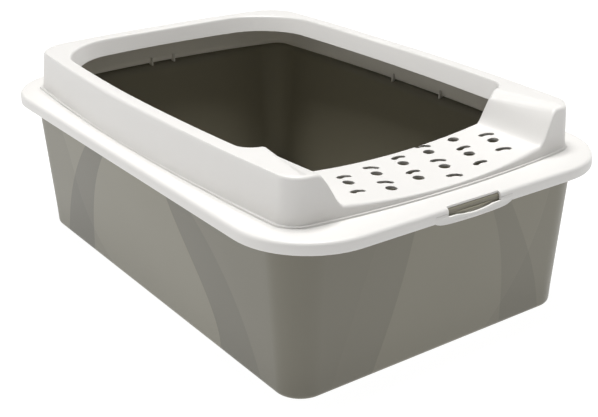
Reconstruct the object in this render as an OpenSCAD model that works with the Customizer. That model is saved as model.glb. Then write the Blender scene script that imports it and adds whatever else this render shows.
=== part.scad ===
// Litter tray with a high clip-on rim and a low perforated entry step.
// The front, with the entry step, faces -Y.  Z = 0 is the floor, and X = Y = 0 is the middle.

/* [Overall] */
// Length over the rim's skirt
length = 572; // [550:1:610]
// Width over the rim's skirt
width = 390; // [375:1:420]
// Height of the rim's top land
height = 207; // [202:1:225]
// Height of the flange that the rim sits on
seat_h = 161.2; // [130:0.1:163]

/* [Tray] */
// How far the skirt stands out from the tray's wall at the ends, just below the skirt
end_overhang = 27.6; // [22:0.1:34]
// How far the skirt stands out from the tray's wall at the sides, just below the skirt
side_overhang = 21.3; // [19:0.1:26]
// Draft: how much narrower the tray is at the floor, on each side
draft = 9.8; // [6:0.1:14]
// Corner radius of the tray's wall at the floor
tray_corner_r = 26.5; // [20:0.5:34]
// Thickness of the tray's wall
tray_wall = 2.4; // [1.8:0.1:3]
// Thickness of the tray's floor
tray_floor = 2.6; // [2:0.1:3.4]
// Radius between the floor and the wall, outside
foot_r = 4.8; // [3.6:0.1:7]
// Height over which the wall rolls out into the flange
roll_h = 11; // [8:0.5:14]
// How far the wall rolls out
roll_w = 12; // [9:0.5:13]
// Depth of the flange's turned-down edge
tray_edge_drop = 8.4; // [7.8:0.1:10]
// Rounding of the turned-down edge
tray_edge_r = 2.6; // [2.5:0.1:3]

/* [Rim] */
// Thickness of the rim's wall
rim_wall = 2; // [1.6:0.1:2.4]
// Height of the skirt
skirt_h = 11.3; // [10.6:0.1:14]
// Corner radius of the skirt
skirt_corner_r = 75; // [66:1:82]
// Rounding between the skirt and the flange
skirt_edge_r = 4.6; // [4:0.1:5.4]
// Height of the low plinth round the wall's foot
plinth_h = 2; // [1.4:0.1:2.6]
// Front corner radius of the plinth
plinth_front_r = 20; // [17:0.5:20.5]
// Rear corner radius of the plinth
plinth_rear_r = 13; // [11:0.5:16]
// Width of the flange at the corners, measured at the ends
end_flange = 39.5; // [36:0.5:44]
// Width of the flange at the corners, measured at the sides
side_flange = 28.5; // [27:0.5:32]
// How far the wall's foot stands back from the plinth at the corners
foot_setback = 2.6; // [2.4:0.1:3.4]
// Front corner radius of the wall's foot
foot_front_r = 16; // [15.5:0.5:22]
// Rear corner radius of the wall's foot
foot_rear_r = 17; // [15:0.5:24]
// Front corner radius of the wall's top
top_front_r = 16; // [15:0.5:22]
// Rear corner radius of the wall's top
top_rear_r = 25.5; // [22:0.5:28]
// Lean of the wall towards the middle of the rim
wall_lean = 1.8; // [1:0.1:2.6]
// Outward bow of the long walls at mid length
side_bow = 11; // [8:0.1:13]
// Outward bow of the end walls at mid width
end_bow = 12.4; // [9:0.1:14]
// How much further the plinth bows out at the sides than the wall's top
plinth_swell = 0.5; // [0:0.1:1]
// Rounding of the outer top edge
top_edge_r = 3.8; // [3:0.1:5]

/* [Mouth] */
// Width of the top land at the sides
side_land = 14.2; // [12:0.1:17]
// Width of the top land at the rear end
rear_land = 15.4; // [13:0.1:19]
// How much wider the rear land is at mid width than at the corners
land_swell = 3; // [2:0.1:4]
// Corner radius of the mouth at the rear
mouth_rear_r = 60; // [50:1:66]
// Corner radius of the mouth beside the entry step
mouth_front_r = 18; // [15:0.5:19]
// Rounding of the mouth's top edge
mouth_edge_r = 2.4; // [2:0.1:3]
// Height of the inner lip that hangs from the mouth
lip_h = 18; // [12:0.5:20]
// How far the inner lip leans into the mouth
lip_lean = 7; // [4:0.1:9]
// How much less the inner lip's lower edge bows than the wall
lip_flat = 2; // [0:0.1:3]

/* [Entry step] */
// Depth of the step from its inner edge to the outer wall, at the middle
step_depth = 88.3; // [86:0.1:94]
// Height of the step's lowest point over the plinth round the wall's foot
step_rise = 3.2; // [1.8:0.1:12]
// Rise of the step's dish at its sides
step_dish = 7.4; // [3:0.1:9.5]
// Half width of the dished step, between its cheeks
step_half_w = 113; // [104:1:115]
// Width of each sloping cheek
cheek_w = 24; // [20:0.5:27]
// Height of the lip under the step's inner edge
step_lip_h = 12; // [8:0.5:14]

/* [Step holes] */
// Spacing of the hole pattern
hole_pitch = 37.3; // [34:0.1:42]
// Turn of the hole pattern
hole_turn = 10.5; // [8:0.1:13]
// Distance from the step's inner edge to the pattern's middle hole
hole_start = 25.4; // [24:0.1:28]
// Shift of the pattern to the left
hole_shift = 1.4; // [0:0.1:3]
// Diameter of the round holes
hole_d = 10.6; // [8:0.1:12]
// Distance from a round hole to its arc slot
slot_offset = 15.7; // [14.8:0.1:16.4]
// Radius of the arc slots' middle line
slot_r = 9; // [8:0.1:10]
// Width of the arc slots
slot_w = 5.6; // [4:0.1:5.8]
// Angle that an arc slot covers, between its round ends
slot_angle = 66; // [60:1:80]
// Direction that the arc slots bulge towards, on average
slot_turn = 75.5; // [70:0.5:80]
// Turn of every other arc slot to the left, and of the rest to the right
slot_tilt = 13.5; // [10:0.5:17]
// Least distance from a hole's middle to the step's inner edge
inner_margin = 3.5; // [3.5:0.1:3.8]
// Least distance from a hole's middle to the outer wall
outer_margin = 12; // [11.5:0.1:13]
// Least distance from a hole's middle to the cheek
side_margin = 5.5; // [4:0.1:7]

/* [Locating ribs] */
// Width of a rib
rib_w = 1.6; // [1.2:0.1:2.2]
// Depth of a rib, inwards from the rim's wall
rib_t = 2.6; // [2:0.1:3]
// How far a rib hangs below the plinth
rib_drop = 6; // [5:0.1:7]
// How far a rib climbs the rim's wall
rib_climb = 3; // [2:0.1:5]
// Distance between the two rear ribs
rear_rib_gap = 30; // [20:1:60]
// Distance between the two ribs of a long side
side_rib_gap = 80; // [50:1:120]
// How far the ribs of a long side sit towards the front
side_rib_shift = 10; // [0:1:30]

/* [Latches] */
// Width of the window over the catch
window_w = 60; // [56:1:70]
// How far the window cuts into the rounded edge, from the skirt's face
window_depth = 4.2; // [3.8:0.1:4.3]
// Width of a tab, over its legs
tab_w = 88.4; // [84:0.2:96]
// Height of the tab's bridge at the window's sides
bridge_h = 3.4; // [3:0.1:4.2]
// Drop of the bridge's top edge at the middle
bridge_dip = 1.8; // [1:0.1:2.2]
// Width of the dip in the bridge's top edge
dip_w = 40; // [34:1:50]
// Outward bulge of the bridge at the middle
bridge_bulge = 1.9; // [1.8:0.1:2.4]
// Drop of the finger lip below the skirt, at the middle
finger_drop = 2.6; // [2:0.1:3.6]
// How far the finger lip flares out
finger_flare = 0.9; // [0.6:0.1:1.4]
// Width of the half-moon catch nose
nose_w = 52; // [44:1:56]
// How far the nose stands out
nose_out = 1.9; // [1.4:0.1:2]
// Height of the nose's flat top over the bridge
nose_rise = 1.2; // [0.8:0.1:1.6]

/* [Fits] */
// Upward clearance between the tray's flange and the rim
seat_gap = 0.2; // [0.1:0.05:0.3]
// Clearance between the rim's skirt and the tray's turned-down edge, all round
skirt_gap = 0.6; // [0.4:0.05:0.9]
// Clearance round the latch tabs
tab_gap = 0.3; // [0.25:0.05:0.4]
// Clearance between a locating rib and the tray
rib_gap = 0.5; // [0.3:0.05:0.8]

/* [Hidden] */

$fn = 64;
rim_color = [0.95, 0.95, 0.94];
tray_color = [0.50, 0.49, 0.43];

// Steps along the outlines and round the edges
corner_steps = 9;
side_steps = 14;
end_steps = 14;
dish_steps = 10;
cheek_steps = 8;
edge_steps = 4;
bridge_steps = 12;
// How far cuts start outside the faces that they cut
eps = 0.5;
// Share of each cheek that has close places along it
cheek_share = 0.6;
// Places from there to the corner, and the room that they need
corner_run = 3;
corner_room = 6;
// How square the finger lip's lower edge is: 2 makes a parabola
lip_power = 10;
// Heights of the finger lip's bend and tip, as shares of the strip's height
bend_share = 0.45;
tip_share = 0.14;

half_l = length / 2;
half_w = width / 2;
roll_z = seat_h - roll_h;
flange_under = seat_h + seat_gap;
flange_z = flange_under + rim_wall;
skirt_z = flange_z - skirt_h;
plinth_z = flange_z + plinth_h;
step_z = plinth_z + step_rise;
bridge_z = skirt_z + bridge_h;
tab_top = flange_z - skirt_edge_r - tab_gap;
rib_z = plinth_z - rib_drop;

// Outlines as [half width, front, rear, front radius, rear radius, side bow, front bow, rear bow]
SKIRT = [half_w, half_l, half_l, skirt_corner_r, skirt_corner_r, 0, 0, 0];
PLINTH = [half_w - side_flange, half_l - end_flange, half_l - end_flange,
    plinth_front_r, plinth_rear_r,
    side_bow + plinth_swell, end_bow + foot_setback / 2, end_bow + foot_setback / 2];
FOOT = [PLINTH[0] - foot_setback, PLINTH[1] - foot_setback / 2, PLINTH[2] - foot_setback / 2,
    foot_front_r, foot_rear_r,
    side_bow + foot_setback, end_bow + foot_setback / 2, end_bow + foot_setback / 2];
TOP = [FOOT[0] - wall_lean, FOOT[1] - wall_lean / 2, FOOT[2] - wall_lean / 2,
    top_front_r, top_rear_r, side_bow, end_bow, end_bow];
MOUTH = [TOP[0] - side_land, TOP[1] + end_bow - step_depth, TOP[2] - rear_land,
    mouth_front_r, mouth_rear_r, side_bow, 0, end_bow - land_swell];
LIP = [MOUTH[0] - lip_lean, MOUTH[1] - eps, MOUTH[2] - lip_lean,
    mouth_front_r - rim_wall, mouth_rear_r - lip_lean, side_bow - lip_flat, 0, end_bow - lip_flat];
TRAY_EDGE = inset(SKIRT, rim_wall + skirt_gap);
TRAY_WALL = [half_w - side_overhang, half_l - end_overhang, half_l - end_overhang,
    tray_corner_r + draft, tray_corner_r + draft, 0, 0, 0];
TRAY_FOOT = inset(TRAY_WALL, draft);

function mix(a, b, t) = a + (b - a) * t;
function unit(t) = min(1, max(0, t));
function ease(t) = t * t * (3 - 2 * t);
function inset(s, d) = [s[0] - d, s[1] - d, s[2] - d, s[3] - d, s[4] - d, s[5], s[6], s[7]];

// A quarter circle of points round a corner's middle
function corner(x, y, r, start) =
    [for (i = [0 : corner_steps])
        let (a = start + 90 * i / corner_steps) [x + r * cos(a), y + r * sin(a)]];

// Points between two points, without the two
function between(p, q, steps) = [for (i = [1 : steps - 1]) mix(p, q, i / steps)];

// Places across the front: even over the dished step, closer over the cheeks
FRONT_END = step_half_w + cheek_w * cheek_share;
FRONT_XS = concat(
    [for (i = [0 : cheek_steps - 1]) mix(-FRONT_END, -step_half_w, i / cheek_steps)],
    [for (i = [-dish_steps : dish_steps]) step_half_w * i / dish_steps],
    [for (i = [1 : cheek_steps]) mix(step_half_w, FRONT_END, i / cheek_steps)]);

// The outline before it is bowed, counter-clockwise from the front left.  Where a corner starts
// early, the places across the front are squeezed together.
function straight(s) =
    let (fx = s[0] - s[3], rx = s[0] - s[4], fy = s[3] - s[1], ry = s[2] - s[4],
        squeeze = fx > FRONT_END ? 1 : (fx - corner_room) / FRONT_END,
        end_x = FRONT_END * squeeze)
    concat(
        between([-fx, -s[1]], [-end_x, -s[1]], corner_run),
        [for (x = FRONT_XS) [x * squeeze, -s[1]]],
        between([end_x, -s[1]], [fx, -s[1]], corner_run),
        corner(fx, fy, s[3], -90),
        between([s[0], fy], [s[0], ry], side_steps),
        corner(rx, ry, s[4], 0),
        between([rx, s[2]], [-rx, s[2]], end_steps),
        corner(-rx, ry, s[4], 90),
        between([-s[0], ry], [-s[0], fy], side_steps),
        corner(-fx, fy, s[3], 180));

// How far round a corner a place is: 0 where the corner starts, 1 at the outline's edge
function reach(v, edge, r) = unit((abs(v) - edge + r) / r);

// The outline with its sides bowed outwards
function outline(s) =
    [for (p = straight(s))
        let (r = p.y < 0 ? s[3] : s[4], end = p.y < 0 ? s[1] : s[2], end_bulge = p.y < 0 ? s[6] : s[7])
        [p.x + sign(p.x) * s[5] * (1 - pow(p.y / s[2], 2)) * reach(p.x, s[0], r),
            p.y + sign(p.y) * end_bulge * (1 - pow(p.x / s[0], 2)) * reach(p.y, end, r)]];

// Height of the rim's upper face: the top land, or the dished step and its cheeks at the front
function dish(x) = step_z + step_dish * pow(x / step_half_w, 2);
function top_z(p) =
    p.y > 0 ? height : mix(dish(p.x), height, ease(unit((abs(p.x) - step_half_w) / cheek_w)));

// Rise of the upper face over one millimetre, and the height of the under face below it
function slope(p) = top_z([p.x + 0.5, p.y]) - top_z([p.x - 0.5, p.y]);
function under_z(p) = top_z(p) - rim_wall * sqrt(1 + pow(slope(p), 2));

// Depth of the inner lip: less under the entry step
function lip_drop(p) = mix(step_lip_h, lip_h, unit((top_z(p) - step_z) / (height - step_z)));

// A quarter round from one plan point to another, first upright and then level
function round_up(p, q, z, r) =
    [for (i = [0 : edge_steps])
        let (a = 90 * i / edge_steps) at(mix(p, q, 1 - cos(a)), z - r * (1 - sin(a)))];
function at(p, z) = [p.x, p.y, z];
function reversed(list) = [for (i = [len(list) - 1 : -1 : 0]) list[i]];

SKIRT_LINE = outline(SKIRT);
SKIRT_BACK_LINE = outline(inset(SKIRT, rim_wall));
FLANGE_LINE = outline(inset(SKIRT, skirt_edge_r));
PLINTH_LINE = outline(PLINTH);
FOOT_LINE = outline(FOOT);
FOOT_BACK_LINE = outline(inset(FOOT, rim_wall));
TOP_LINE = outline(TOP);
// One millimetre in from the top's outline, for the inward direction
TOP_BACK_LINE = outline(inset(TOP, 1));
LAND_LINE = outline(inset(MOUTH, -mouth_edge_r));
MOUTH_LINE = outline(MOUTH);
LIP_LINE = outline(LIP);
LIP_BACK_LINE = outline(inset(LIP, -rim_wall));
MOUTH_BACK_LINE = outline(inset(MOUTH, -rim_wall));

// One closed section of the rim: up the outside, over the land, and back along the inside
function rim_section(i) =
    let (
        outer_z = top_z(TOP_LINE[i]),
        edge_r = min(top_edge_r, (outer_z - plinth_z) / 2),
        tall = height - plinth_z - top_edge_r,
        shoulder = mix(FOOT_LINE[i], TOP_LINE[i], unit((outer_z - edge_r - plinth_z) / tall)),
        inwards = TOP_BACK_LINE[i] - TOP_LINE[i],
        lip_z = top_z(MOUTH_LINE[i]) - lip_drop(MOUTH_LINE[i]))
    concat(
        [at(SKIRT_LINE[i], skirt_z)],
        round_up(SKIRT_LINE[i], FLANGE_LINE[i], flange_z, skirt_edge_r),
        [at(PLINTH_LINE[i], flange_z), at(PLINTH_LINE[i], plinth_z), at(FOOT_LINE[i], plinth_z)],
        round_up(shoulder, shoulder + inwards * edge_r, outer_z, edge_r),
        reversed(round_up(MOUTH_LINE[i], LAND_LINE[i], top_z(LAND_LINE[i]), mouth_edge_r)),
        [at(LIP_LINE[i], lip_z), at(LIP_BACK_LINE[i], lip_z)],
        [at(MOUTH_BACK_LINE[i], under_z(MOUTH_BACK_LINE[i]) - mouth_edge_r / 2)],
        [at(shoulder + inwards * rim_wall, under_z(TOP_LINE[i]))],
        [at(FOOT_BACK_LINE[i], min(plinth_z, under_z(TOP_LINE[i]) - eps))],
        [at(PLINTH_LINE[i], flange_under)],
        reversed(round_up(SKIRT_BACK_LINE[i], FLANGE_LINE[i], flange_under, skirt_edge_r - rim_wall)),
        [at(SKIRT_BACK_LINE[i], skirt_z)]);

// Faces between neighbouring rows of points.  The rows go round, and each row closes on itself
// or, where the skin is capped, ends in flat caps that meet at their middles.
module skin(rows, capped) {
    n = len(rows);
    m = len(rows[0]);
    function id(i, j) = (i % n) * m + j % m;
    function middle(j) = [for (row = rows) 1 / n] * [for (row = rows) row[j]];
    sides = [for (i = [0 : n - 1], j = [0 : m - (capped ? 2 : 1)])
        each [[id(i, j), id(i, j + 1), id(i + 1, j + 1)], [id(i, j), id(i + 1, j + 1), id(i + 1, j)]]];
    caps = [for (i = [0 : n - 1])
        each [[n * m, id(i, 0), id(i + 1, 0)], [n * m + 1, id(i + 1, m - 1), id(i, m - 1)]]];
    points = [for (row = rows) each row];
    polyhedron(
        capped ? concat(points, [middle(0), middle(m - 1)]) : points,
        capped ? concat(sides, caps) : sides, convexity = 10);
}

module rim() {
    color(rim_color)
    difference() {
        union() {
            skin([for (i = [0 : len(SKIRT_LINE) - 1]) rim_section(i)], false);
            side_ribs();
            rear_ribs();
        }
        step_holes();
        latch_cut();
        rotate([0, 0, 180]) latch_cut();
    }
}

// Inner face of the tray's rolled wall, outwards from its straight outer face, at the ribs' lower end
function roll_face() =
    let (a = asin(unit((rib_z - roll_z) / roll_h)))
    (roll_w + tray_wall) * (1 - cos(a)) - tray_wall;

// A rib from the rim's wall (at 0, outwards along +X) to just short of the tray at distance out:
// a fin that climbs the wall, a block under the plinth, and a block under the flange
module rib(out) {
    translate([-rib_t, -rib_w / 2, rib_z])
        cube([rib_t + eps, rib_w, plinth_z + rib_climb - rib_z]);
    translate([-eps, -rib_w / 2, rib_z])
        cube([min(out, rim_wall + eps / 2) + eps, rib_w, plinth_z - eps - rib_z]);
    translate([-eps, -rib_w / 2, rib_z])
        cube([out + eps, rib_w, flange_under + rim_wall / 2 - rib_z]);
}

module side_ribs() {
    for (side = [-1, 1], end = [-1, 1]) {
        y = end * side_rib_gap / 2 - side_rib_shift;
        wall_x = FOOT[0] + FOOT[5] * (1 - pow(y / FOOT[2], 2)) - rim_wall;
        mirror([side < 0 ? 1 : 0, 0, 0]) translate([wall_x, y, 0])
            rib(TRAY_WALL[0] + roll_face() - rib_gap - wall_x);
    }
}

module rear_ribs() {
    for (side = [-1, 1]) {
        x = side * rear_rib_gap / 2;
        wall_y = FOOT[2] + FOOT[7] * (1 - pow(x / FOOT[0], 2)) - rim_wall;
        translate([x, wall_y, 0]) rotate([0, 0, 90])
            rib(TRAY_WALL[2] + roll_face() - rib_gap - wall_y);
    }
}

// The hole pattern: a lattice of equal triangles, each place with a round hole and an arc slot
function lattice(i, j) =
    [-hole_shift, -MOUTH[1] - hole_start]
    + hole_pitch * (i * [cos(hole_turn), sin(hole_turn)]
        + j * [cos(hole_turn - 120), sin(hole_turn - 120)]);
function slot_place(i, j) =
    lattice(i, j) + slot_offset * [cos(hole_turn + 60), sin(hole_turn + 60)];
function outer_wall_y(x) = -TOP[1] - end_bow * (1 - pow(x / TOP[0], 2));

// Is a hole's middle on the step, clear of the inner edge, the cheeks and the outer wall?
function on_step(p) =
    p.y < -MOUTH[1] - inner_margin && abs(p.x) < step_half_w - side_margin
    && p.y > outer_wall_y(p.x) + outer_margin;

module arc_slot(turn) {
    reach_angle = slot_angle / 2;
    rotate([0, 0, turn]) translate([-slot_r, 0, 0]) {
        rotate([0, 0, -reach_angle]) rotate_extrude(angle = slot_angle)
            translate([slot_r - slot_w / 2, 0]) square([slot_w, height - plinth_z]);
        for (a = [-reach_angle, reach_angle])
            rotate([0, 0, a]) translate([slot_r, 0, 0]) cylinder(d = slot_w, h = height - plinth_z);
    }
}

module step_holes() {
    span = 4;
    low_z = step_z - rim_wall - eps;
    for (i = [-span : span], j = [-span : span]) {
        hole = lattice(i, j);
        slot = slot_place(i, j);
        if (on_step(hole) && on_step(hole + [0, hole_d / 2]))
            translate(at(hole, low_z)) cylinder(d = hole_d, h = height - plinth_z);
        if (on_step(slot))
            translate(at(slot, low_z)) arc_slot(slot_turn + slot_tilt * (i % 2 == 0 ? 1 : -1));
    }
}

// What is cut from the skirt for a tab, and the window over it, which is open to above
module latch_cut() {
    cut_w = tab_w + 2 * tab_gap;
    translate([-cut_w / 2, -half_l - eps, skirt_z - eps])
        cube([cut_w, rim_wall + 2 * eps, tab_top + tab_gap - skirt_z + eps]);
    translate([-window_w / 2, -half_l - eps, bridge_z])
        cube([window_w, window_depth + eps, flange_z + eps - bridge_z]);
}

// One closed section of the tray's wall, from the underside up, over the flange, and down inside
TRAY_WALL_LINE = outline(TRAY_WALL);
TRAY_ROLL_LINE = outline(inset(TRAY_WALL, -roll_w));
TRAY_INNER_LINE = outline(inset(TRAY_WALL, tray_wall));
TRAY_EDGE_LINE = outline(TRAY_EDGE);
TRAY_SHOULDER_LINE = outline(inset(TRAY_EDGE, tray_edge_r));
TRAY_EDGE_BACK_LINE = outline(inset(TRAY_EDGE, tray_wall));
TRAY_FOOT_LINE = outline(TRAY_FOOT);
TRAY_SOLE_LINE = outline(inset(TRAY_FOOT, foot_r));
TRAY_BASIN_LINE = outline(inset(TRAY_FOOT, tray_wall));

// A quarter ellipse that rolls from upright at p to level at q
function roll(p, q, z, h) =
    [for (i = [0 : edge_steps])
        let (a = 90 * i / edge_steps) at(mix(p, q, 1 - cos(a)), z + h * sin(a))];
// A quarter round from level at p to upright at q
function round_out(p, q, z, r) =
    [for (i = [0 : edge_steps])
        let (a = 90 * i / edge_steps) at(mix(p, q, sin(a)), z + r * (1 - cos(a)))];

function tray_section(i) =
    concat(
        round_out(TRAY_SOLE_LINE[i], TRAY_FOOT_LINE[i], 0, foot_r),
        roll(TRAY_WALL_LINE[i], TRAY_ROLL_LINE[i], roll_z, roll_h - tray_wall),
        [at(TRAY_EDGE_BACK_LINE[i], seat_h - tray_wall)],
        [at(TRAY_EDGE_BACK_LINE[i], seat_h - tray_edge_drop), at(TRAY_EDGE_LINE[i], seat_h - tray_edge_drop)],
        round_up(TRAY_EDGE_LINE[i], TRAY_SHOULDER_LINE[i], seat_h, tray_edge_r),
        reversed(roll(TRAY_INNER_LINE[i], TRAY_ROLL_LINE[i], roll_z, roll_h)),
        reversed(round_out(TRAY_SOLE_LINE[i], TRAY_BASIN_LINE[i], tray_floor, foot_r - tray_wall)));

// The catch nose: flat above, with a half-moon face, fading out into the tray's edge at both ends
module nose() {
    half = nose_w / 2;
    back_y = -TRAY_EDGE[1] + tray_wall / 2;
    sink = 0.2;
    top = bridge_z + nose_rise;
    low = bridge_z - bridge_dip + tab_gap;
    function moon(x) = 1 - pow(x / half, 2);
    sections = [for (i = [-bridge_steps : bridge_steps])
        let (x = half * i / bridge_steps,
            face_y = -TRAY_EDGE[1] + sink - (nose_out + sink) * moon(x),
            low_z = mix(bridge_z, low, moon(x)))
        [[x, back_y, top], [x, face_y, top], [x, face_y, low_z], [x, back_y, low_z]]];
    skin([for (j = [0 : 3]) [for (s = sections) s[j]]], true);
}

module tray() {
    color(tray_color) {
        skin([for (i = [0 : len(TRAY_WALL_LINE) - 1]) tray_section(i)], true);
        nose();
        rotate([0, 0, 180]) nose();
    }
}

// The tab's bridge: a thin strip that bulges out and ends below in a flared finger lip
function swell(x) = 1 - pow(2 * x / tab_w, 2);
function bridge_section(x) =
    let (
        face_y = -half_l - bridge_bulge * swell(x),
        back_y = face_y + rim_wall,
        tip_y = face_y - finger_flare * swell(x),
        top = bridge_z - bridge_dip * max(0, 1 - pow(2 * x / dip_w, 2)),
        low = skirt_z - finger_drop * (1 - pow(abs(2 * x / tab_w), lip_power)),
        bend = mix(low, top, bend_share))
    [[x, back_y, top], [x, face_y, top], [x, face_y, bend], [x, tip_y, mix(low, top, tip_share)],
        [x, tip_y, low], [x, (tip_y + back_y) / 2, low], [x, back_y, bend]];

module latch_tab() {
    sections = [for (i = [-bridge_steps : bridge_steps]) bridge_section(tab_w / 2 * i / bridge_steps)];
    leg_w = (tab_w - window_w) / 2;
    hinge_r = rim_wall / 2;
    skin([for (j = [0 : len(sections[0]) - 1]) [for (s = sections) s[j]]], true);
    for (x = [-tab_w / 2, window_w / 2]) {
        translate([x, -half_l, skirt_z]) cube([leg_w, rim_wall, tab_top - hinge_r - skirt_z]);
        translate([x, -half_l + hinge_r, tab_top - hinge_r]) rotate([0, 90, 0])
            cylinder(r = hinge_r, h = leg_w);
    }
}

module front_latch_tab() {
    color(rim_color) latch_tab();
}

module rear_latch_tab() {
    color(rim_color) rotate([0, 0, 180]) latch_tab();
}

tray();
rim();
front_latch_tab();
rear_latch_tab();
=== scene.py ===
"""Litter tray with a high clip-on rim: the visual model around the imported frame.

Plan dimensions are in millimetres, as in the part's source, and become metres in the meshes.
+X is right, +Y is the rear end, +Z is up, and the entry step faces -Y.
"""
import math

import bpy
import numpy as np
from mathutils import Matrix, Vector


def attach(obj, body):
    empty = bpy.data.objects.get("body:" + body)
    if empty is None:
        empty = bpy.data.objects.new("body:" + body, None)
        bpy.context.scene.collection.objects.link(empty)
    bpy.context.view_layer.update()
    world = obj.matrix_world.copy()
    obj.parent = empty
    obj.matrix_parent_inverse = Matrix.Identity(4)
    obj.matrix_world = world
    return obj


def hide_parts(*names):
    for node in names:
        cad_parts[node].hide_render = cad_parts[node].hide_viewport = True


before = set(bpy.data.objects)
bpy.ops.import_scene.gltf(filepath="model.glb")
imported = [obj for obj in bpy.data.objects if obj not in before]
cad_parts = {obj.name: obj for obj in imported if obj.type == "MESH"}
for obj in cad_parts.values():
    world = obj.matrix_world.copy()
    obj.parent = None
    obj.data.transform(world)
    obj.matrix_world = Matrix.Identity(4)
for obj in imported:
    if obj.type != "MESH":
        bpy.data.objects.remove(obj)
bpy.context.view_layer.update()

MM = 0.001

# ---- sizes from the part's source, in millimetres ----
HALF_LENGTH = 286.0
HALF_WIDTH = 195.0
HEIGHT = 207.0
SEAT = 161.2
RIM_WALL = 2.0
FLANGE_UNDER = SEAT + 0.2
FLANGE = FLANGE_UNDER + RIM_WALL
SKIRT_LOW = FLANGE - 11.3
PLINTH_TOP = FLANGE + 2.0
STEP = PLINTH_TOP + 3.2
STEP_DISH = 7.4
STEP_HALF_WIDTH = 113.0
CHEEK_WIDTH = 24.0
STEP_LIP = 12.0
LIP_HEIGHT = 18.0
BRIDGE = SKIRT_LOW + 3.4
BRIDGE_DIP = 1.8
DIP_WIDTH = 40.0
WINDOW_WIDTH = 60.0
WINDOW_DEPTH = 4.2
TAB_WIDTH = 88.4
TAB_TOP = FLANGE - 4.6 - 0.3
NOSE_WIDTH = 52.0
SIDE_BOW = 11.0
END_BOW = 12.4

# ---- roundings of the rim's section, in millimetres ----
RIM_EDGE_R = 0.7
SKIRT_R = 4.6
PLINTH_LOW_R, PLINTH_EDGE_R, FOOT_R = 1.8, 1.4, 2.2
SHOULDER_R, MOUTH_R, LIP_R = 4.2, 2.6, 0.9
BACK_MOUTH_R, BACK_SHOULDER_R, BACK_FOOT_R = 1.5, 2.0, 3.0
BACK_PLINTH_R, BACK_LOW_R, BACK_SKIRT_R = 0.8, 0.6, 2.8
BACK_FOOT_CLIMB = 6.0
BACK_PLINTH_INSET = 1.2
BACK_PLINTH_HIGH, BACK_PLINTH_LOW = 2.4, 0.6

# ---- sizes of the tray, in millimetres ----
TRAY_WALL = 2.4
TRAY_FLOOR = 2.6
DRAFT = 9.8
FOOT_RADIUS = 4.8
ROLL_LOW = SEAT - 11.0
EDGE_DROP = 8.4
SOLE_INSET = 14.0
ROLL_OUTER_R, ROLL_INNER_R = 10.5, 12.0
EDGE_TOP_R, EDGE_BACK_R, EDGE_LOW_R = 2.8, 1.0, 0.6
BASIN_R, BASIN_RISE = 3.0, 2.4

# ---- steps along the outlines ----
CORNER_STEPS = 16
SIDE_STEPS = 56
REAR_STEPS = 40
DISH_STEPS = 22
CHEEK_STEPS = 14
CORNER_RUN = 6
CORNER_ROOM = 6.0
FILLET_STEPS = 4
SLOT_STEPS = 10
CAP_STEPS = 8
HOLE_STEP_ANGLE = 9
WINDOW_POINTS = 61
TAB_POINTS = 61
NOSE_POINTS = 41


def mix(a, b, t):
    return a + (b - a) * t


def unit(t):
    return min(1.0, max(0.0, t))


def ease(t):
    return t * t * (3 - 2 * t)


# ---------------------------------------------------------------- outlines
# (half width, front, rear, front radius, rear radius, side bow, front bow, rear bow)
def inset(spec, d):
    return tuple(v - d for v in spec[:5]) + spec[5:]


SKIRT = (HALF_WIDTH, HALF_LENGTH, HALF_LENGTH, 75, 75, 0, 0, 0)
PLINTH = (166.5, 246.5, 246.5, 20, 13, SIDE_BOW + 0.5, END_BOW + 1.3, END_BOW + 1.3)
FOOT = (163.9, 245.2, 245.2, 16, 17, SIDE_BOW + 2.6, END_BOW + 1.3, END_BOW + 1.3)
FOOT_BACK = (162.3, 243.6, 243.6, 30, 30, SIDE_BOW + 2.6, END_BOW + 1.3, END_BOW + 1.3)
TOP = (162.1, 244.3, 244.3, 16, 25.5, SIDE_BOW, END_BOW, END_BOW)
MOUTH = (147.9, 168.4, 228.9, 18, 60, SIDE_BOW, 0, END_BOW - 3)
LIP = (140.9, 167.9, 221.9, 16, 53, SIDE_BOW - 2, 0, END_BOW - 2)
TRAY_EDGE = inset(SKIRT, RIM_WALL + 0.6)
TRAY_SHELL = (173.7, 258.4, 258.4, 36.3, 36.3, 0, 0, 0)
TRAY_FOOT = inset(TRAY_SHELL, DRAFT)

FRONT_END = STEP_HALF_WIDTH + CHEEK_WIDTH * 0.6
FRONT_XS = (
    [mix(-FRONT_END, -STEP_HALF_WIDTH, i / CHEEK_STEPS) for i in range(CHEEK_STEPS)]
    + [STEP_HALF_WIDTH * i / DISH_STEPS for i in range(-DISH_STEPS, DISH_STEPS + 1)]
    + [mix(STEP_HALF_WIDTH, FRONT_END, i / CHEEK_STEPS) for i in range(1, CHEEK_STEPS + 1)]
)


def quarter(x, y, r, start):
    angles = [math.radians(start + 90 * i / CORNER_STEPS) for i in range(CORNER_STEPS + 1)]
    return [(x + r * math.cos(a), y + r * math.sin(a)) for a in angles]


def between(p, q, steps):
    return [(mix(p[0], q[0], i / steps), mix(p[1], q[1], i / steps)) for i in range(1, steps)]


def straight(spec):
    w, front, rear, rf, rr = spec[:5]
    fx, rx, fy, ry = w - rf, w - rr, rf - front, rear - rr
    squeeze = 1.0 if fx > FRONT_END else (fx - CORNER_ROOM) / FRONT_END
    end_x = FRONT_END * squeeze
    return (
        between((-fx, -front), (-end_x, -front), CORNER_RUN)
        + [(x * squeeze, -front) for x in FRONT_XS]
        + between((end_x, -front), (fx, -front), CORNER_RUN)
        + quarter(fx, fy, rf, -90)
        + between((w, fy), (w, ry), SIDE_STEPS)
        + quarter(rx, ry, rr, 0)
        + between((rx, rear), (-rx, rear), REAR_STEPS)
        + quarter(-rx, ry, rr, 90)
        + between((-w, ry), (-w, fy), SIDE_STEPS)
        + quarter(-fx, fy, rf, 180)
    )


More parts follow.
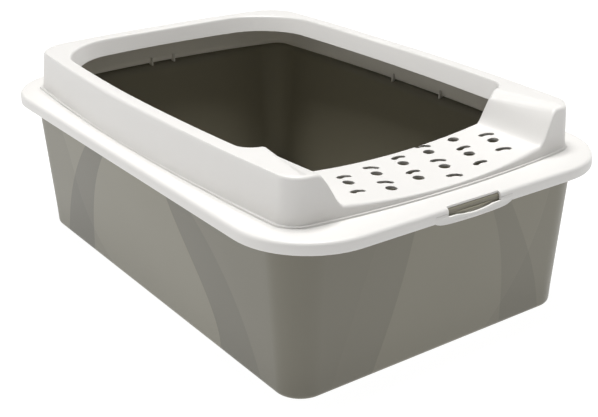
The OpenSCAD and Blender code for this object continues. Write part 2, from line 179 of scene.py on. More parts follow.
def bowed(spec, p):
    """A place on the straight outline, moved out by the bow of its side."""
    x, y = p
    w, front, rear, rf, rr, side, front_bow, rear_bow = spec
    r, end, bow = (rf, front, front_bow) if y < 0 else (rr, rear, rear_bow)
    across = unit((abs(x) - w + r) / r)
    along = unit((abs(y) - end + r) / r)
    return (
        x + math.copysign(side * (1 - (y / rear) ** 2) * across, x),
        y + math.copysign(bow * (1 - (x / w) ** 2) * along, y),
    )


def outline(spec):
    return [bowed(spec, p) for p in straight(spec)]


# ---------------------------------------------------------------- the rim's upper face
def dish(x):
    return STEP + STEP_DISH * (x / STEP_HALF_WIDTH) ** 2


def top_z(x, y):
    if y > 0:
        return HEIGHT
    climb = ease(unit((abs(x) - STEP_HALF_WIDTH) / CHEEK_WIDTH))
    return mix(dish(x), HEIGHT, climb)


def under_z(x, y):
    slope = top_z(x + 0.5, y) - top_z(x - 0.5, y)
    return top_z(x, y) - RIM_WALL * math.sqrt(1 + slope * slope)


# ---------------------------------------------------------------- mesh tools
def rounded(corners, closed=True):
    """A polyline with its corners rounded: each corner is (x, y, z, radius)."""
    n = len(corners)
    points = []
    for i, c in enumerate(corners):
        here = np.array(c[:3], float)
        ends = not closed and i in (0, n - 1)
        if c[3] <= 0 or ends:
            points.append(here)
            continue
        to_last = np.array(corners[i - 1][:3], float) - here
        to_next = np.array(corners[(i + 1) % n][:3], float) - here
        a, b = np.linalg.norm(to_last), np.linalg.norm(to_next)
        trim = min(c[3], 0.47 * a, 0.47 * b)
        start, end = here + to_last / a * trim, here + to_next / b * trim
        for k in range(FILLET_STEPS + 1):
            t = k / FILLET_STEPS
            points.append((1 - t) ** 2 * start + 2 * t * (1 - t) * here + t * t * end)
    return points


def sweep(name, sections, closed=True, capped=False, ring=True):
    """A mesh skin through the sections, which go round when ring is set."""
    n, m = len(sections), len(sections[0])
    verts = [tuple(np.array(p) * MM) for s in sections for p in s]
    faces = []
    for i in range(n if ring else n - 1):
        for j in range(m if closed else m - 1):
            i1, j1 = (i + 1) % n, (j + 1) % m
            faces.append((i * m + j, i1 * m + j, i1 * m + j1, i * m + j1))
    if capped and ring:
        faces.append(tuple(i * m for i in range(n - 1, -1, -1)))
        faces.append(tuple(i * m + m - 1 for i in range(n)))
    if capped and not ring:
        faces.append(tuple(j for j in range(m)))
        faces.append(tuple((n - 1) * m + j for j in range(m - 1, -1, -1)))
    mesh = bpy.data.meshes.new(name)
    mesh.from_pydata(verts, [], faces)
    mesh.validate()
    return mesh


def piece(name, mesh, body, materials):
    obj = bpy.data.objects.new(name, mesh)
    bpy.context.scene.collection.objects.link(obj)
    for m in materials:
        mesh.materials.append(m)
    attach(obj, body)
    return obj


def smooth(mesh, angle):
    """Smooth shading, with edges sharper than the angle kept."""
    mesh.shade_smooth()
    mesh.set_sharp_from_angle(angle=math.radians(angle))


def carve(mesh, cutters):
    """The mesh with the cutters' bodies taken out of it."""
    scene = bpy.context.scene.collection
    body = bpy.data.objects.new("uncut", mesh)
    scene.objects.link(body)
    tools = []
    for i, cutter in enumerate(cutters):
        tool = bpy.data.objects.new("cutter_%d" % i, cutter)
        scene.objects.link(tool)
        tools.append(tool)
        step = body.modifiers.new("cut_%d" % i, "BOOLEAN")
        step.operation = "DIFFERENCE"
        step.solver = "EXACT"
        step.object = tool
    graph = bpy.context.evaluated_depsgraph_get()
    carved = bpy.data.meshes.new_from_object(body.evaluated_get(graph))
    for obj in [body] + tools:
        bpy.data.objects.remove(obj)
    return carved


def weighted(obj):
    step = obj.modifiers.new("even_normals", "WEIGHTED_NORMAL")
    step.keep_sharp = True
    step.weight = 60


# ---------------------------------------------------------------- materials
def new_group(name, inputs, outputs):
    group = bpy.data.node_groups.new(name, "ShaderNodeTree")
    for socket, kind, value in inputs:
        made = group.interface.new_socket(socket, in_out="INPUT", socket_type=kind)
        if value is not None:
            made.default_value = value
    for socket, kind in outputs:
        group.interface.new_socket(socket, in_out="OUTPUT", socket_type=kind)
    start = group.nodes.new("NodeGroupInput")
    end = group.nodes.new("NodeGroupOutput")
    return group, start, end


def put(tree, source, target):
    """Links a socket, or sets a plain value, on the target socket."""
    if isinstance(source, bpy.types.NodeSocket):
        tree.links.new(source, target)
    else:
        target.default_value = source


def maths(tree, operation, a, b=0.0, c=None):
    node = tree.nodes.new("ShaderNodeMath")
    node.operation = operation
    put(tree, a, node.inputs[0])
    put(tree, b, node.inputs[1])
    if c is not None:
        put(tree, c, node.inputs[2])
    return node.outputs[0]


def moulded_grain():
    """Fine satin grain and slow flow marks of an injection moulding."""
    group, start, end = new_group(
        "moulded_grain",
        [("Grain Size", "NodeSocketFloat", 900.0), ("Flow Size", "NodeSocketFloat", 6.0)],
        [("Grain", "NodeSocketFloat"), ("Flow", "NodeSocketFloat"), ("Gloss Change", "NodeSocketFloat")],
    )
    coords = group.nodes.new("ShaderNodeTexCoord")
    grain = group.nodes.new("ShaderNodeTexNoise")
    grain.inputs["Detail"].default_value = 3.0
    grain.inputs["Roughness"].default_value = 0.6
    flow = group.nodes.new("ShaderNodeTexNoise")
    flow.inputs["Detail"].default_value = 2.0
    flow.inputs["Distortion"].default_value = 0.4
    for node in (grain, flow):
        group.links.new(coords.outputs["Object"], node.inputs["Vector"])
    group.links.new(start.outputs["Grain Size"], grain.inputs["Scale"])
    group.links.new(start.outputs["Flow Size"], flow.inputs["Scale"])
    change = maths(group, "ADD", maths(group, "MULTIPLY", grain.outputs["Fac"], 0.35),
                   maths(group, "MULTIPLY", flow.outputs["Fac"], 0.65))
    group.links.new(grain.outputs["Fac"], end.inputs["Grain"])
    group.links.new(flow.outputs["Fac"], end.inputs["Flow"])
    group.links.new(change, end.inputs["Gloss Change"])
    return group


def swept_band():
    """1 between two swept curves on a wall, and 0 outside them.

    A curve's place along the wall is a cubic of the height; both are in metres.
    """
    curves = [("%s %d" % (side, k), "NodeSocketFloat", 0.0) for side in ("From", "To") for k in range(4)]
    group, start, end = new_group(
        "swept_band",
        [("Along", "NodeSocketFloat", 0.0), ("Height", "NodeSocketFloat", 0.0),
         ("Softness", "NodeSocketFloat", 0.0008)] + curves,
        [("Band", "NodeSocketFloat")],
    )
    t = start.outputs["Height"]
    edges = []
    for side in ("From", "To"):
        k = [start.outputs["%s %d" % (side, i)] for i in range(4)]
        curve = maths(group, "MULTIPLY_ADD", k[3], t, k[2])
        curve = maths(group, "MULTIPLY_ADD", curve, t, k[1])
        curve = maths(group, "MULTIPLY_ADD", curve, t, k[0])
        away = maths(group, "SUBTRACT", start.outputs["Along"], curve)
        step = maths(group, "DIVIDE", away, start.outputs["Softness"])
        edges.append(maths(group, "ADD", step, 0.5))
    clamped = []
    for edge in edges:
        node = group.nodes.new("ShaderNodeClamp")
        group.links.new(edge, node.inputs["Value"])
        clamped.append(node.outputs[0])
    band = maths(group, "MULTIPLY", clamped[0], maths(group, "SUBTRACT", 1.0, clamped[1]))
    group.links.new(band, end.inputs["Band"])
    return group


GRAIN = moulded_grain()
BAND = swept_band()


def new_material(name, roughness, specular):
    made = bpy.data.materials.new(name)
    made.use_nodes = True
    shader = made.node_tree.nodes["Principled BSDF"]
    shader.inputs["Roughness"].default_value = roughness
    shader.inputs["Specular IOR Level"].default_value = specular
    return made, made.node_tree, shader


def placed(tree, group, **values):
    node = tree.nodes.new("ShaderNodeGroup")
    node.node_tree = group
    for name, value in values.items():
        put(tree, value, node.inputs[name.replace("_", " ")])
    return node


def blend_colours(tree, factor, a, b):
    node = tree.nodes.new("ShaderNodeMix")
    node.data_type = "RGBA"
    put(tree, factor, node.inputs["Factor"])
    put(tree, a, node.inputs["A"])
    put(tree, b, node.inputs["B"])
    return node.outputs["Result"]


def ranged(tree, value, low, high):
    node = tree.nodes.new("ShaderNodeMapRange")
    put(tree, value, node.inputs["Value"])
    node.inputs["To Min"].default_value = low
    node.inputs["To Max"].default_value = high
    return node.outputs["Result"]


def satin_plastic(name, light, dark, rough, grain_depth, bands=()):
    """A moulded satin plastic: two close tones, changing gloss and a fine grain."""
    made, tree, shader = new_material(name, sum(rough) / 2, 0.45)
    grain = placed(tree, GRAIN)
    colour = blend_colours(tree, grain.outputs["Flow"], light, dark)
    height = grain.outputs["Grain"]
    if bands:
        tone, relief = wall_bands(tree, bands)
        colour = blend_colours(tree, tone, (0.0, 0.0, 0.0, 1.0), colour)
        height = maths(tree, "ADD", height, relief)
    tree.links.new(colour, shader.inputs["Base Color"])
    tree.links.new(ranged(tree, grain.outputs["Gloss Change"], *rough), shader.inputs["Roughness"])
    bump = tree.nodes.new("ShaderNodeBump")
    bump.inputs["Distance"].default_value = grain_depth
    bump.inputs["Strength"].default_value = 0.5
    tree.links.new(height, bump.inputs["Height"])
    tree.links.new(bump.outputs["Normal"], shader.inputs["Normal"])
    return made


# The height at which a band's curve reaches its last place, in metres, and the bands' sunk depth
BAND_HEIGHT = 0.13
BAND_RELIEF = 2.0


def wall_bands(tree, bands):
    """The tray's sweeping bands: how much of the colour stays, and their height."""
    coords = tree.nodes.new("ShaderNodeTexCoord")
    split = tree.nodes.new("ShaderNodeSeparateXYZ")
    tree.links.new(coords.outputs["Object"], split.inputs[0])
    x, y, z = split.outputs
    past_x = maths(tree, "SUBTRACT", maths(tree, "ABSOLUTE", x), (TRAY_SHELL[0] - TRAY_SHELL[3]) * MM)
    past_y = maths(tree, "SUBTRACT", maths(tree, "ABSOLUTE", y), (TRAY_SHELL[1] - TRAY_SHELL[3]) * MM)
    on_side = maths(tree, "GREATER_THAN", past_x, past_y)
    on_end = maths(tree, "SUBTRACT", 1.0, on_side)
    # each wall is read from the left as one stands before it, so opposite walls match
    along = {
        "side": maths(tree, "MULTIPLY", y, maths(tree, "MULTIPLY", maths(tree, "SIGN", x), -1.0)),
        "end": maths(tree, "MULTIPLY", x, maths(tree, "MULTIPLY", maths(tree, "SIGN", y), -1.0)),
    }
    where = {"side": on_side, "end": on_end}
    height = maths(tree, "DIVIDE", z, BAND_HEIGHT)
    tone, relief = 1.0, 0.0
    for wall, start, end, depth in bands:
        node = placed(tree, BAND, Along=along[wall], Height=height)
        for k in range(4):
            node.inputs["From %d" % k].default_value = start[k] * MM
            node.inputs["To %d" % k].default_value = end[k] * MM
        band = maths(tree, "MULTIPLY", node.outputs["Band"], where[wall])
        kept = maths(tree, "MULTIPLY_ADD", band, -depth, 1.0)
        tone = maths(tree, "MULTIPLY", tone, kept)
        relief = maths(tree, "MULTIPLY_ADD", band, -BAND_RELIEF, relief)
    return tone, relief


# Curves of the bands: the place along the wall at the floor, and how it changes with height
FAR_LEFT, FAR_RIGHT = (-900, 0, 0, 0), (900, 0, 0, 0)
SIDE_REAR = (79.9, 254.9, -307.0, 143.7)
SIDE_ARC_A = (133.2, -25.2, -5.1, -26.5)
SIDE_ARC_B = (200.2, -43.6, -27.1, -12.6)
SIDE_SWEEP_A = (-200.3, 44.6, 18.5, 31.8)
SIDE_SWEEP_B = (-131.8, -20.1, 186.7, -93.4)
END_SWEEP = (-79.3, 50.9, -13.5, 0)
END_FAINT = (-125.3, 40.2, 0.4, 0)
END_ARC_A = (78.4, -2.7, -10.5, -13.1)
END_ARC_B = (131.7, -20.9, -49.2, 14.9)
END_RIGHT = (55.1, 131.9, -79.7, 17.1)
WALL_BANDS = (
    ("side", SIDE_REAR, FAR_RIGHT, 0.10),
    ("side", SIDE_ARC_A, SIDE_ARC_B, 0.35),
    ("side", SIDE_SWEEP_A, SIDE_SWEEP_B, 0.33),
    ("side", FAR_LEFT, SIDE_SWEEP_A, 0.20),
    ("end", FAR_LEFT, END_SWEEP, 0.17),
    ("end", FAR_LEFT, END_FAINT, 0.03),
    ("end", END_ARC_A, END_ARC_B, 0.14),
    ("end", END_RIGHT, FAR_RIGHT, 0.07),
)

# Two close tones of each plastic, its range of roughness, and its grain's depth in metres
WHITE_TONES = (0.805, 0.79, 0.765, 1), (0.785, 0.77, 0.745, 1)
KHAKI_TONES = (0.262, 0.245, 0.190, 1), (0.246, 0.230, 0.178, 1)
# the outer walls' khaki is a darker copy of the inside khaki: painted shade on the tray's outer walls
OUTER_SHADED_TONES = (0.236, 0.222, 0.172, 1), (0.220, 0.207, 0.160, 1)
WHITE_ROUGH, KHAKI_ROUGH = (0.32, 0.46), (0.30, 0.44)
WHITE_GRAIN, KHAKI_GRAIN = 0.00004, 0.00005

WHITE = satin_plastic("white_satin_plastic", *WHITE_TONES, WHITE_ROUGH, WHITE_GRAIN)
KHAKI = satin_plastic("khaki_satin_plastic", *KHAKI_TONES, KHAKI_ROUGH, KHAKI_GRAIN)
# the outer walls' material: the tray's moulded bands on the darker khaki base, which is painted shade
KHAKI_BANDED_SHADED = satin_plastic(
    "khaki_banded_shaded_plastic", *OUTER_SHADED_TONES, KHAKI_ROUGH, KHAKI_GRAIN, WALL_BANDS)


# ---------------------------------------------------------------- the rim
def rim_mesh():
    lines = {
        "skirt": outline(SKIRT), "skirt_back": outline(inset(SKIRT, RIM_WALL)),
        "plinth": outline(PLINTH), "plinth_back": outline(inset(PLINTH, BACK_PLINTH_INSET)),
        "foot": outline(FOOT), "foot_back": outline(FOOT_BACK),
        "top": outline(TOP), "top_back": outline(inset(TOP, RIM_WALL)),
        "mouth": outline(MOUTH), "mouth_back": outline(inset(MOUTH, -RIM_WALL)),
        "lip": outline(LIP), "lip_back": outline(inset(LIP, -RIM_WALL)),
    }
    sections = []
    for i in range(len(lines["skirt"])):
        p = {name: line[i] for name, line in lines.items()}
        outer = top_z(*p["top"])
        rise = unit((outer - PLINTH_TOP) / (HEIGHT - PLINTH_TOP))
        shoulder = [mix(p["foot"][k], p["top"][k], rise) for k in (0, 1)]
        shoulder_back = [mix(p["foot_back"][k], p["top_back"][k], rise) for k in (0, 1)]
        mouth_z = top_z(*p["mouth"])
        hang = mix(STEP_LIP, LIP_HEIGHT, unit((mouth_z - STEP) / (HEIGHT - STEP)))
        under = under_z(*p["top"])
        sections.append(rounded([
            (*p["skirt_back"], SKIRT_LOW, RIM_EDGE_R),
            (*p["skirt"], SKIRT_LOW, RIM_EDGE_R),
            (*p["skirt"], FLANGE, SKIRT_R),
            (*p["plinth"], FLANGE, PLINTH_LOW_R),
            (*p["plinth"], PLINTH_TOP, PLINTH_EDGE_R),
            (*p["foot"], PLINTH_TOP, FOOT_R),
            (*shoulder, outer, SHOULDER_R),
            (*p["mouth"], mouth_z, MOUTH_R),
            (*p["lip"], mouth_z - hang, LIP_R),
            (*p["lip_back"], mouth_z - hang, LIP_R),
            (*p["mouth_back"], under_z(*p["mouth_back"]) - 1, BACK_MOUTH_R),
            (*shoulder_back, under, BACK_SHOULDER_R),
            (*p["foot_back"], min(FLANGE_UNDER + BACK_FOOT_CLIMB, under - 0.5), BACK_FOOT_R),
            (*p["plinth_back"], FLANGE_UNDER + BACK_PLINTH_HIGH, BACK_PLINTH_R),
            (*p["plinth_back"], FLANGE_UNDER + BACK_PLINTH_LOW, BACK_LOW_R),
            (*p["skirt_back"], FLANGE_UNDER, BACK_SKIRT_R),
        ]))
    return sweep("rim_skin", sections)


# The hole pattern in the step
HOLE_PITCH = 37.3
HOLE_TURN = 10.5
HOLE_START = 25.4
HOLE_SHIFT = 1.4
HOLE_DIAMETER = 10.6
SLOT_OFFSET = 15.7
SLOT_RADIUS = 9.0
SLOT_WIDTH = 5.6
SLOT_ANGLE = 66.0
SLOT_TURN = 75.5
SLOT_TILT = 13.5
INNER_MARGIN, OUTER_MARGIN, SIDE_MARGIN = 3.5, 12.0, 5.5
LATTICE_REACH = 4

# How a hole's edge is rounded over, its straight neck below that, and its wider underside
FLARE = 0.25
FLARE_ANGLES = (0.35, 0.75, 1.15, math.pi / 2)
HOLE_NECK, SLOT_NECK = 2.2, 1.0
CUT_ABOVE, CUT_SKIM = 3.0, 0.02
UNDERCUT, UNDERCUT_FALL, CUT_BELOW = 0.6, 0.8, 2.4


def towards(angle):
    return np.array([math.cos(math.radians(angle)), math.sin(math.radians(angle))])


def on_step(p):
    outer = -TOP[1] - END_BOW * (1 - (p[0] / TOP[0]) ** 2)
    return (p[1] < -MOUTH[1] - INNER_MARGIN and abs(p[0]) < STEP_HALF_WIDTH - SIDE_MARGIN
            and p[1] > outer + OUTER_MARGIN)


def round_hole(centre, grow):
    return [centre + (HOLE_DIAMETER / 2 + grow) * towards(a) for a in range(0, 360, HOLE_STEP_ANGLE)]


def arc_slot(centre, turn, grow):
    """A bent slot's outline: along its outer arc, round one end, and back along its inner arc."""
    middle = centre - SLOT_RADIUS * towards(turn)
    half, out = SLOT_ANGLE / 2, SLOT_WIDTH / 2 + grow
    ends = [middle + SLOT_RADIUS * towards(turn + side * half) for side in (-1, 1)]
    sweep_angles = [mix(-half, half, k / SLOT_STEPS) for k in range(SLOT_STEPS + 1)]
    cap_angles = [180 * k / CAP_STEPS for k in range(1, CAP_STEPS)]
    outer = [middle + (SLOT_RADIUS + out) * towards(turn + a) for a in sweep_angles]
    cap = [ends[1] + out * towards(turn + half + a) for a in cap_angles]
    inner = [middle + (SLOT_RADIUS - out) * towards(turn - a) for a in sweep_angles]
    last_cap = [ends[0] + out * towards(turn - half + 180 + a) for a in cap_angles]
    return outer + cap + inner + last_cap


def flared_cutter(name, shape, neck):
    """A cutter that goes down through the step and rounds the hole's edges over.

    shape(grow) gives the hole's outline, grown outwards.
    """
    levels = [(CUT_ABOVE, FLARE), (CUT_SKIM, FLARE)]
    levels += [(-FLARE * math.sin(a), FLARE * (1 - math.cos(math.pi / 2 - a))) for a in FLARE_ANGLES]
    low = -FLARE - neck
    levels += [(low, 0.0), (low - UNDERCUT_FALL, UNDERCUT), (low - CUT_BELOW, UNDERCUT)]
    rings = []
    for height, grow in levels:
        rings.append([(p[0], p[1], top_z(*p) + height) for p in shape(grow)])
    sections = [[ring[i] for ring in reversed(rings)] for i in range(len(rings[0]))]
    return sweep(name, sections, closed=False, capped=True)


def step_cutters():
    cutters = []
    base = np.array([-HOLE_SHIFT, -MOUTH[1] - HOLE_START])
    reach = range(-LATTICE_REACH, LATTICE_REACH + 1)
    for i in reach:
        for j in reach:
            hole = base + HOLE_PITCH * (i * towards(HOLE_TURN) + j * towards(HOLE_TURN - 120))
            slot = hole + SLOT_OFFSET * towards(HOLE_TURN + 60)
            if on_step(hole) and on_step(hole + np.array([0, HOLE_DIAMETER / 2])):
                cutters.append(flared_cutter(
                    "hole_cutter", lambda g, c=hole: round_hole(c, g), HOLE_NECK))
            if on_step(slot):
                turn = SLOT_TURN + SLOT_TILT * (1 if i % 2 == 0 else -1)
                cutters.append(flared_cutter(
                    "slot_cutter", lambda g, c=slot, t=turn: arc_slot(c, t, g), SLOT_NECK))
    return cutters


# How far the cutters of window and notch reach past the skirt, and the notch's clearance
CUT_OUT = 4.0
NOTCH_BELOW, NOTCH_GAP = 5.0, 0.1


def block(name, outline_xz, y0, y1):
    """A cutter with the given outline in X and Z, from y0 to y1."""
    sections = [[(x, y1, z), (x, y0, z)] for x, z in outline_xz]
    return sweep(name, sections, closed=False, capped=True)


def bridge_edge(x):
    """Height of the bridge's upper edge, with its shallow dip in the middle."""
    return BRIDGE - BRIDGE_DIP * max(0.0, 1 - (2 * x / DIP_WIDTH) ** 2)


def window_cutter():
    """The window over the catch: open above, and bounded by the bridge's edge below."""
    half = WINDOW_WIDTH / 2
    low = [(x, bridge_edge(x)) for x in np.linspace(-half, half, WINDOW_POINTS)]
    shape = low + [(half, FLANGE + 1), (-half, FLANGE + 1)]
    return block("window_cutter", shape, -HALF_LENGTH - CUT_OUT, -HALF_LENGTH + WINDOW_DEPTH)


def notch_cutter():
    """The space in the skirt that the latch tab fills."""
    half = TAB_WIDTH / 2 + NOTCH_GAP
    low, high = SKIRT_LOW - NOTCH_BELOW, TAB_TOP + NOTCH_GAP
    shape = [(-half, low), (half, low), (half, high), (-half, high)]
    return block("notch_cutter", shape, -HALF_LENGTH - CUT_OUT, -HALF_LENGTH + RIM_WALL + 1)


def turned(mesh):
    """A copy of the mesh, turned half round to the rear end."""
    other = mesh.copy()
    other.transform(Matrix.Rotation(math.pi, 4, "Z"))
    return other


def rim_cutters():
    notch, window = notch_cutter(), window_cutter()
    return step_cutters() + [notch, window, turned(notch), turned(window)]


def make_rim():
    mesh = carve(rim_mesh(), rim_cutters())
    smooth(mesh, 34)
    obj = piece("rim_moulding", mesh, "rim", [WHITE])
    weighted(obj)
    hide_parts("rim")


make_rim()


# ---------------------------------------------------------------- the tray
WALL_ROWS = 12


def tray_mesh():
    specs = {
        "sole": inset(TRAY_FOOT, SOLE_INSET), "foot": TRAY_FOOT, "shell": TRAY_SHELL,
        "edge": TRAY_EDGE, "edge_back": inset(TRAY_EDGE, TRAY_WALL),
        "inner": inset(TRAY_SHELL, TRAY_WALL), "basin": inset(TRAY_FOOT, TRAY_WALL),
    }
    lines = {name: outline(spec) for name, spec in specs.items()}
    sections = []
    for i in range(len(lines["edge"])):
        p = {name: line[i] for name, line in lines.items()}
        wall = [(*[mix(p["foot"][k], p["shell"][k], r / WALL_ROWS) for k in (0, 1)],
                 mix(FOOT_RADIUS, ROLL_LOW, r / WALL_ROWS), 0.0) for r in range(1, WALL_ROWS)]
        inner = [(*[mix(p["inner"][k], p["basin"][k], r / WALL_ROWS) for k in (0, 1)],
                  mix(ROLL_LOW, TRAY_FLOOR + BASIN_RISE, r / WALL_ROWS), 0.0) for r in range(1, WALL_ROWS)]
        outside = rounded(
            [(*p["sole"], 0.0, 0.0), (*p["foot"], 0.0, FOOT_RADIUS)] + wall
            + [(*p["shell"], SEAT - TRAY_WALL, ROLL_OUTER_R),
               (*p["edge_back"], SEAT - TRAY_WALL, EDGE_BACK_R),
               (*p["edge_back"], SEAT - EDGE_DROP, EDGE_LOW_R)], closed=False)
        outside_rows = len(outside) - 1
        inside = rounded(
            [(*p["edge_back"], SEAT - EDGE_DROP, 0.0), (*p["edge"], SEAT - EDGE_DROP, EDGE_LOW_R),
             (*p["edge"], SEAT, EDGE_TOP_R), (*p["inner"], SEAT, ROLL_INNER_R)] + inner
            + [(*p["basin"], TRAY_FLOOR, BASIN_R), (*p["sole"], TRAY_FLOOR, 0.0)], closed=False)
        sections.append(outside + inside[1:])
    mesh = sweep("tray_skin", sections, closed=False, capped=True)
    rows = len(sections[0]) - 1
    # outer faces get the banded khaki with its painted-shade base tone, inner faces the plain khaki
    for n, face in enumerate(mesh.polygons):
        banded_and_shaded = n < rows * len(sections) and n % rows < outside_rows
        face.material_index = 1 if banded_and_shaded else 0
    return mesh


NOSE_OUT, NOSE_SINK, NOSE_ROOT = 1.9, 0.2, 1.2
NOSE_RISE, NOSE_LIFT = 1.2, 0.3


def nose_mesh():
    """The half-moon catch nose in the tray's turned-down edge."""
    half, out, sink = NOSE_WIDTH / 2, NOSE_OUT, NOSE_SINK
    top, low = BRIDGE + NOSE_RISE, BRIDGE - BRIDGE_DIP + NOSE_LIFT
    face = -TRAY_EDGE[1]
    sections = []
    for x in np.linspace(-half, half, NOSE_POINTS):
        moon = 1 - (x / half) ** 2
        y = face + sink - (out + sink) * moon
        z = mix(BRIDGE, low, moon)
        sections.append(rounded([
            (x, face + NOSE_ROOT, top, 0.0), (x, y, top, 0.5), (x, y, z, 0.7),
            (x, face + NOSE_ROOT, z - 0.3, 0.0)]))
    return sweep("nose_skin", sections, capped=True, ring=False)


def make_tray():
    mesh = tray_mesh()
    smooth(mesh, 50)
    obj = piece("tray_moulding", mesh, "tray", [KHAKI, KHAKI_BANDED_SHADED])
    weighted(obj)
    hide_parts("tray")
    nose = nose_mesh()
    for name, made in (("front_catch_nose", nose), ("rear_catch_nose", turned(nose))):
        smooth(made, 40)
        weighted(piece(name, made, "tray", [KHAKI]))


make_tray()


# ---------------------------------------------------------------- latch tabs
TAB_SWELL, TIP_OUT, TAB_HANG, HANG_POWER = 1.9, 0.9, 2.6, 10
BRIDGE_STEP_HIGH, BRIDGE_STEP_LOW = 1.2, 0.2


def tab_mesh():
    """The springy bridge: it swells outwards, and its lower edge flares into a finger lip."""
    face = -HALF_LENGTH
    step_high, step_low = BRIDGE + BRIDGE_STEP_HIGH, BRIDGE + BRIDGE_STEP_LOW
    half = TAB_WIDTH / 2
    sections = []
    for x in np.linspace(-half, half, TAB_POINTS):
        swell = 1 - (x / half) ** 2
        y = face - TAB_SWELL * swell
        tip = y - TIP_OUT * swell
        low = SKIRT_LOW - TAB_HANG * (1 - abs(x / half) ** HANG_POWER)
        top = bridge_edge(x)
        sections.append(rounded([
            (x, face + RIM_WALL, TAB_TOP, 0.9),
            (x, face, TAB_TOP, 0.9),
            (x, face, step_high, 0.8),
            (x, y, step_low, 0.8),
            (x, y, mix(low, top, 0.45), 0.6),
            (x, tip, mix(low, top, 0.14), 0.5),
            (x, tip, low, 0.3),
            (x, mix(tip, y + RIM_WALL, 0.5), low, 0.5),
            (x, y + RIM_WALL, mix(low, top, 0.4), 0.8),
            (x, y + RIM_WALL, step_low, 0.6),
            (x, face + RIM_WALL, step_high, 0.6),
        ]))
    mesh = sweep("tab_skin", sections, capped=True, ring=False)
    return carve(mesh, [window_cutter()])


def make_tabs():
    front = tab_mesh()
    rear = turned(front)
    for name, made in (("front", front), ("rear", rear)):
        smooth(made, 40)
        obj = piece(name + "_latch_bridge", made, name + "_latch_tab", [WHITE])
        weighted(obj)
        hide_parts(name + "_latch_tab")


make_tabs()


# ---------------------------------------------------------------- locating ribs
RIB_WIDTH, RIB_DEPTH, RIB_ROOT = 1.6, 2.6, 0.6
RIB_DROP, RIB_CLIMB = 6.0, 3.0
SIDE_RIB_SPOTS, REAR_RIB_SPOTS = (-50.0, 30.0), (-15.0, 15.0)
SIDE_RIB_REACH, REAR_RIB_REACH = 177.2, 261.9


def rib_mesh(out):
    """A thin rib that hangs inside the rim's wall; 0 is the wall's inner face, and +X is outwards."""
    low, high = PLINTH_TOP - RIB_DROP, PLINTH_TOP + RIB_CLIMB
    path = rounded([
        (-RIB_DEPTH, 0, low, 0.6), (out, 0, low, 0.4), (out, 0, FLANGE_UNDER + RIB_ROOT, 0.0),
        (RIB_ROOT, 0, PLINTH_TOP - 0.4, 0.0), (RIB_ROOT, 0, high, 0.0), (-RIB_DEPTH, 0, high, 1.6)])
    half = RIB_WIDTH / 2
    sections = [[(p[0], -half, p[2]), (p[0], half, p[2])] for p in path]
    return sweep("rib_skin", sections, closed=False, capped=True)


def make_ribs():
    places = []
    for side in (-1, 1):
        for y in SIDE_RIB_SPOTS:
            wall = FOOT[0] + FOOT[5] * (1 - (y / FOOT[2]) ** 2) - RIM_WALL
            places.append((side * wall, y, 0 if side > 0 else 180, SIDE_RIB_REACH - wall))
    for x in REAR_RIB_SPOTS:
        wall = FOOT[2] + FOOT[7] * (1 - (x / FOOT[0]) ** 2) - RIM_WALL
        places.append((x, wall, 90, REAR_RIB_REACH - wall))
    for n, (x, y, turn, out) in enumerate(places, 1):
        mesh = rib_mesh(out)
        spot = Matrix.Translation((x * MM, y * MM, 0))
        mesh.transform(spot @ Matrix.Rotation(math.radians(turn), 4, "Z"))
        smooth(mesh, 40)
        piece("locating_rib_%d" % n, mesh, "rim", [WHITE])


make_ribs()


# ---------------------------------------------------------------- floor, lights and camera
FLOOR_HALF, FLOOR_DROP = 30.0, 0.0002
FLOOR_GREY, FLOOR_GLOW = (0.2, 0.2, 0.2, 1), 0.97
ROOM_LIGHT = 0.12
LIGHT_AIM = (0, 0, 0.1)
# name, place and size in metres, and power in watts
PANELS = (
    ("ceiling_panel", (0.0, 0.1, 3.2), (1.3, 1.3), 118),
    ("left_panel", (-2.4, 0.8, 0.32), (1.6, 0.5), 8.5),
    ("right_panel", (2.2, 0.2, 0.32), (1.4, 0.5), 5),
)

# The photo's camera: width, focal length and shift in pixels, angles in degrees, place in metres
PHOTO_WIDTH, FOCAL, SHIFT = 598, 1095.44, -0.52
SENSOR_WIDTH = 36.0
YAW, PITCH, ROLL = -35.30, 23.41, -0.48
CAMERA_PLACE = (-0.61346, -0.89508, 0.52553)
CLIP_END = 60


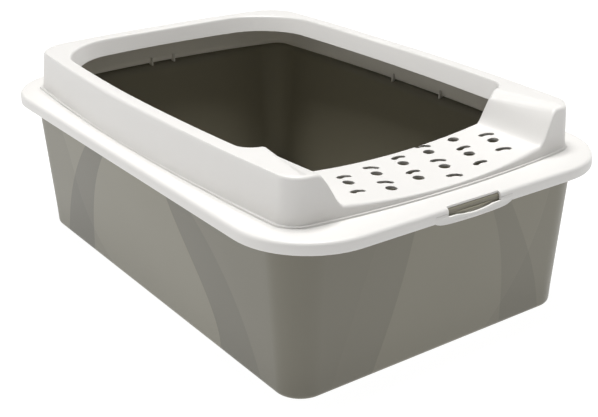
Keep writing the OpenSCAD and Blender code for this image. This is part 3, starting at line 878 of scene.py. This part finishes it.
def make_floor():
    mesh = bpy.data.meshes.new("studio_floor")
    h = FLOOR_HALF
    mesh.from_pydata([(-h, -h, 0), (h, -h, 0), (h, h, 0), (-h, h, 0)], [], [(0, 1, 2, 3)])
    obj = bpy.data.objects.new("studio_floor", mesh)
    obj.location.z = -FLOOR_DROP
    bpy.context.scene.collection.objects.link(obj)
    made, tree, shader = new_material("pale_floor", 0.9, 0.1)
    shader.inputs["Base Color"].default_value = FLOOR_GREY
    shader.inputs["Emission Color"].default_value = (1, 1, 1, 1)
    shader.inputs["Emission Strength"].default_value = FLOOR_GLOW
    mesh.materials.append(made)


def softbox(name, place, size, power):
    data = bpy.data.lights.new(name, "AREA")
    data.shape = "RECTANGLE"
    data.size, data.size_y = size
    data.energy = power
    obj = bpy.data.objects.new(name, data)
    obj.location = place
    obj.rotation_mode = "QUATERNION"
    obj.rotation_quaternion = (Vector(LIGHT_AIM) - Vector(place)).to_track_quat("-Z", "Y")
    bpy.context.scene.collection.objects.link(obj)


def make_lights():
    world = bpy.data.worlds.new("studio_room")
    bpy.context.scene.world = world
    world.use_nodes = True
    back = world.node_tree.nodes["Background"]
    back.inputs["Color"].default_value = (1.0, 1.0, 1.0, 1)
    back.inputs["Strength"].default_value = ROOM_LIGHT
    for panel in PANELS:
        softbox(*panel)


def make_camera():
    data = bpy.data.cameras.new("photo_camera")
    data.sensor_width = SENSOR_WIDTH
    data.lens = FOCAL / PHOTO_WIDTH * SENSOR_WIDTH
    data.shift_x = SHIFT / PHOTO_WIDTH
    obj = bpy.data.objects.new("photo_camera", data)
    yaw, pitch, roll = (math.radians(v) for v in (YAW, PITCH, ROLL))
    back = Vector((math.sin(yaw) * math.cos(pitch), -math.cos(yaw) * math.cos(pitch), math.sin(pitch)))
    right = Vector((math.cos(yaw), math.sin(yaw), 0.0))
    up = back.cross(right)
    rolled_right = right * math.cos(roll) + up * math.sin(roll)
    rolled_up = up * math.cos(roll) - right * math.sin(roll)
    turn = Matrix((rolled_right, rolled_up, back)).transposed()
    obj.rotation_mode = "QUATERNION"
    obj.rotation_quaternion = turn.to_quaternion()
    obj.location = CAMERA_PLACE
    data.clip_end = CLIP_END
    bpy.context.scene.collection.objects.link(obj)
    bpy.context.scene.camera = obj


make_floor()
make_lights()
make_camera()
bpy.context.scene.view_settings.view_transform = "Standard"
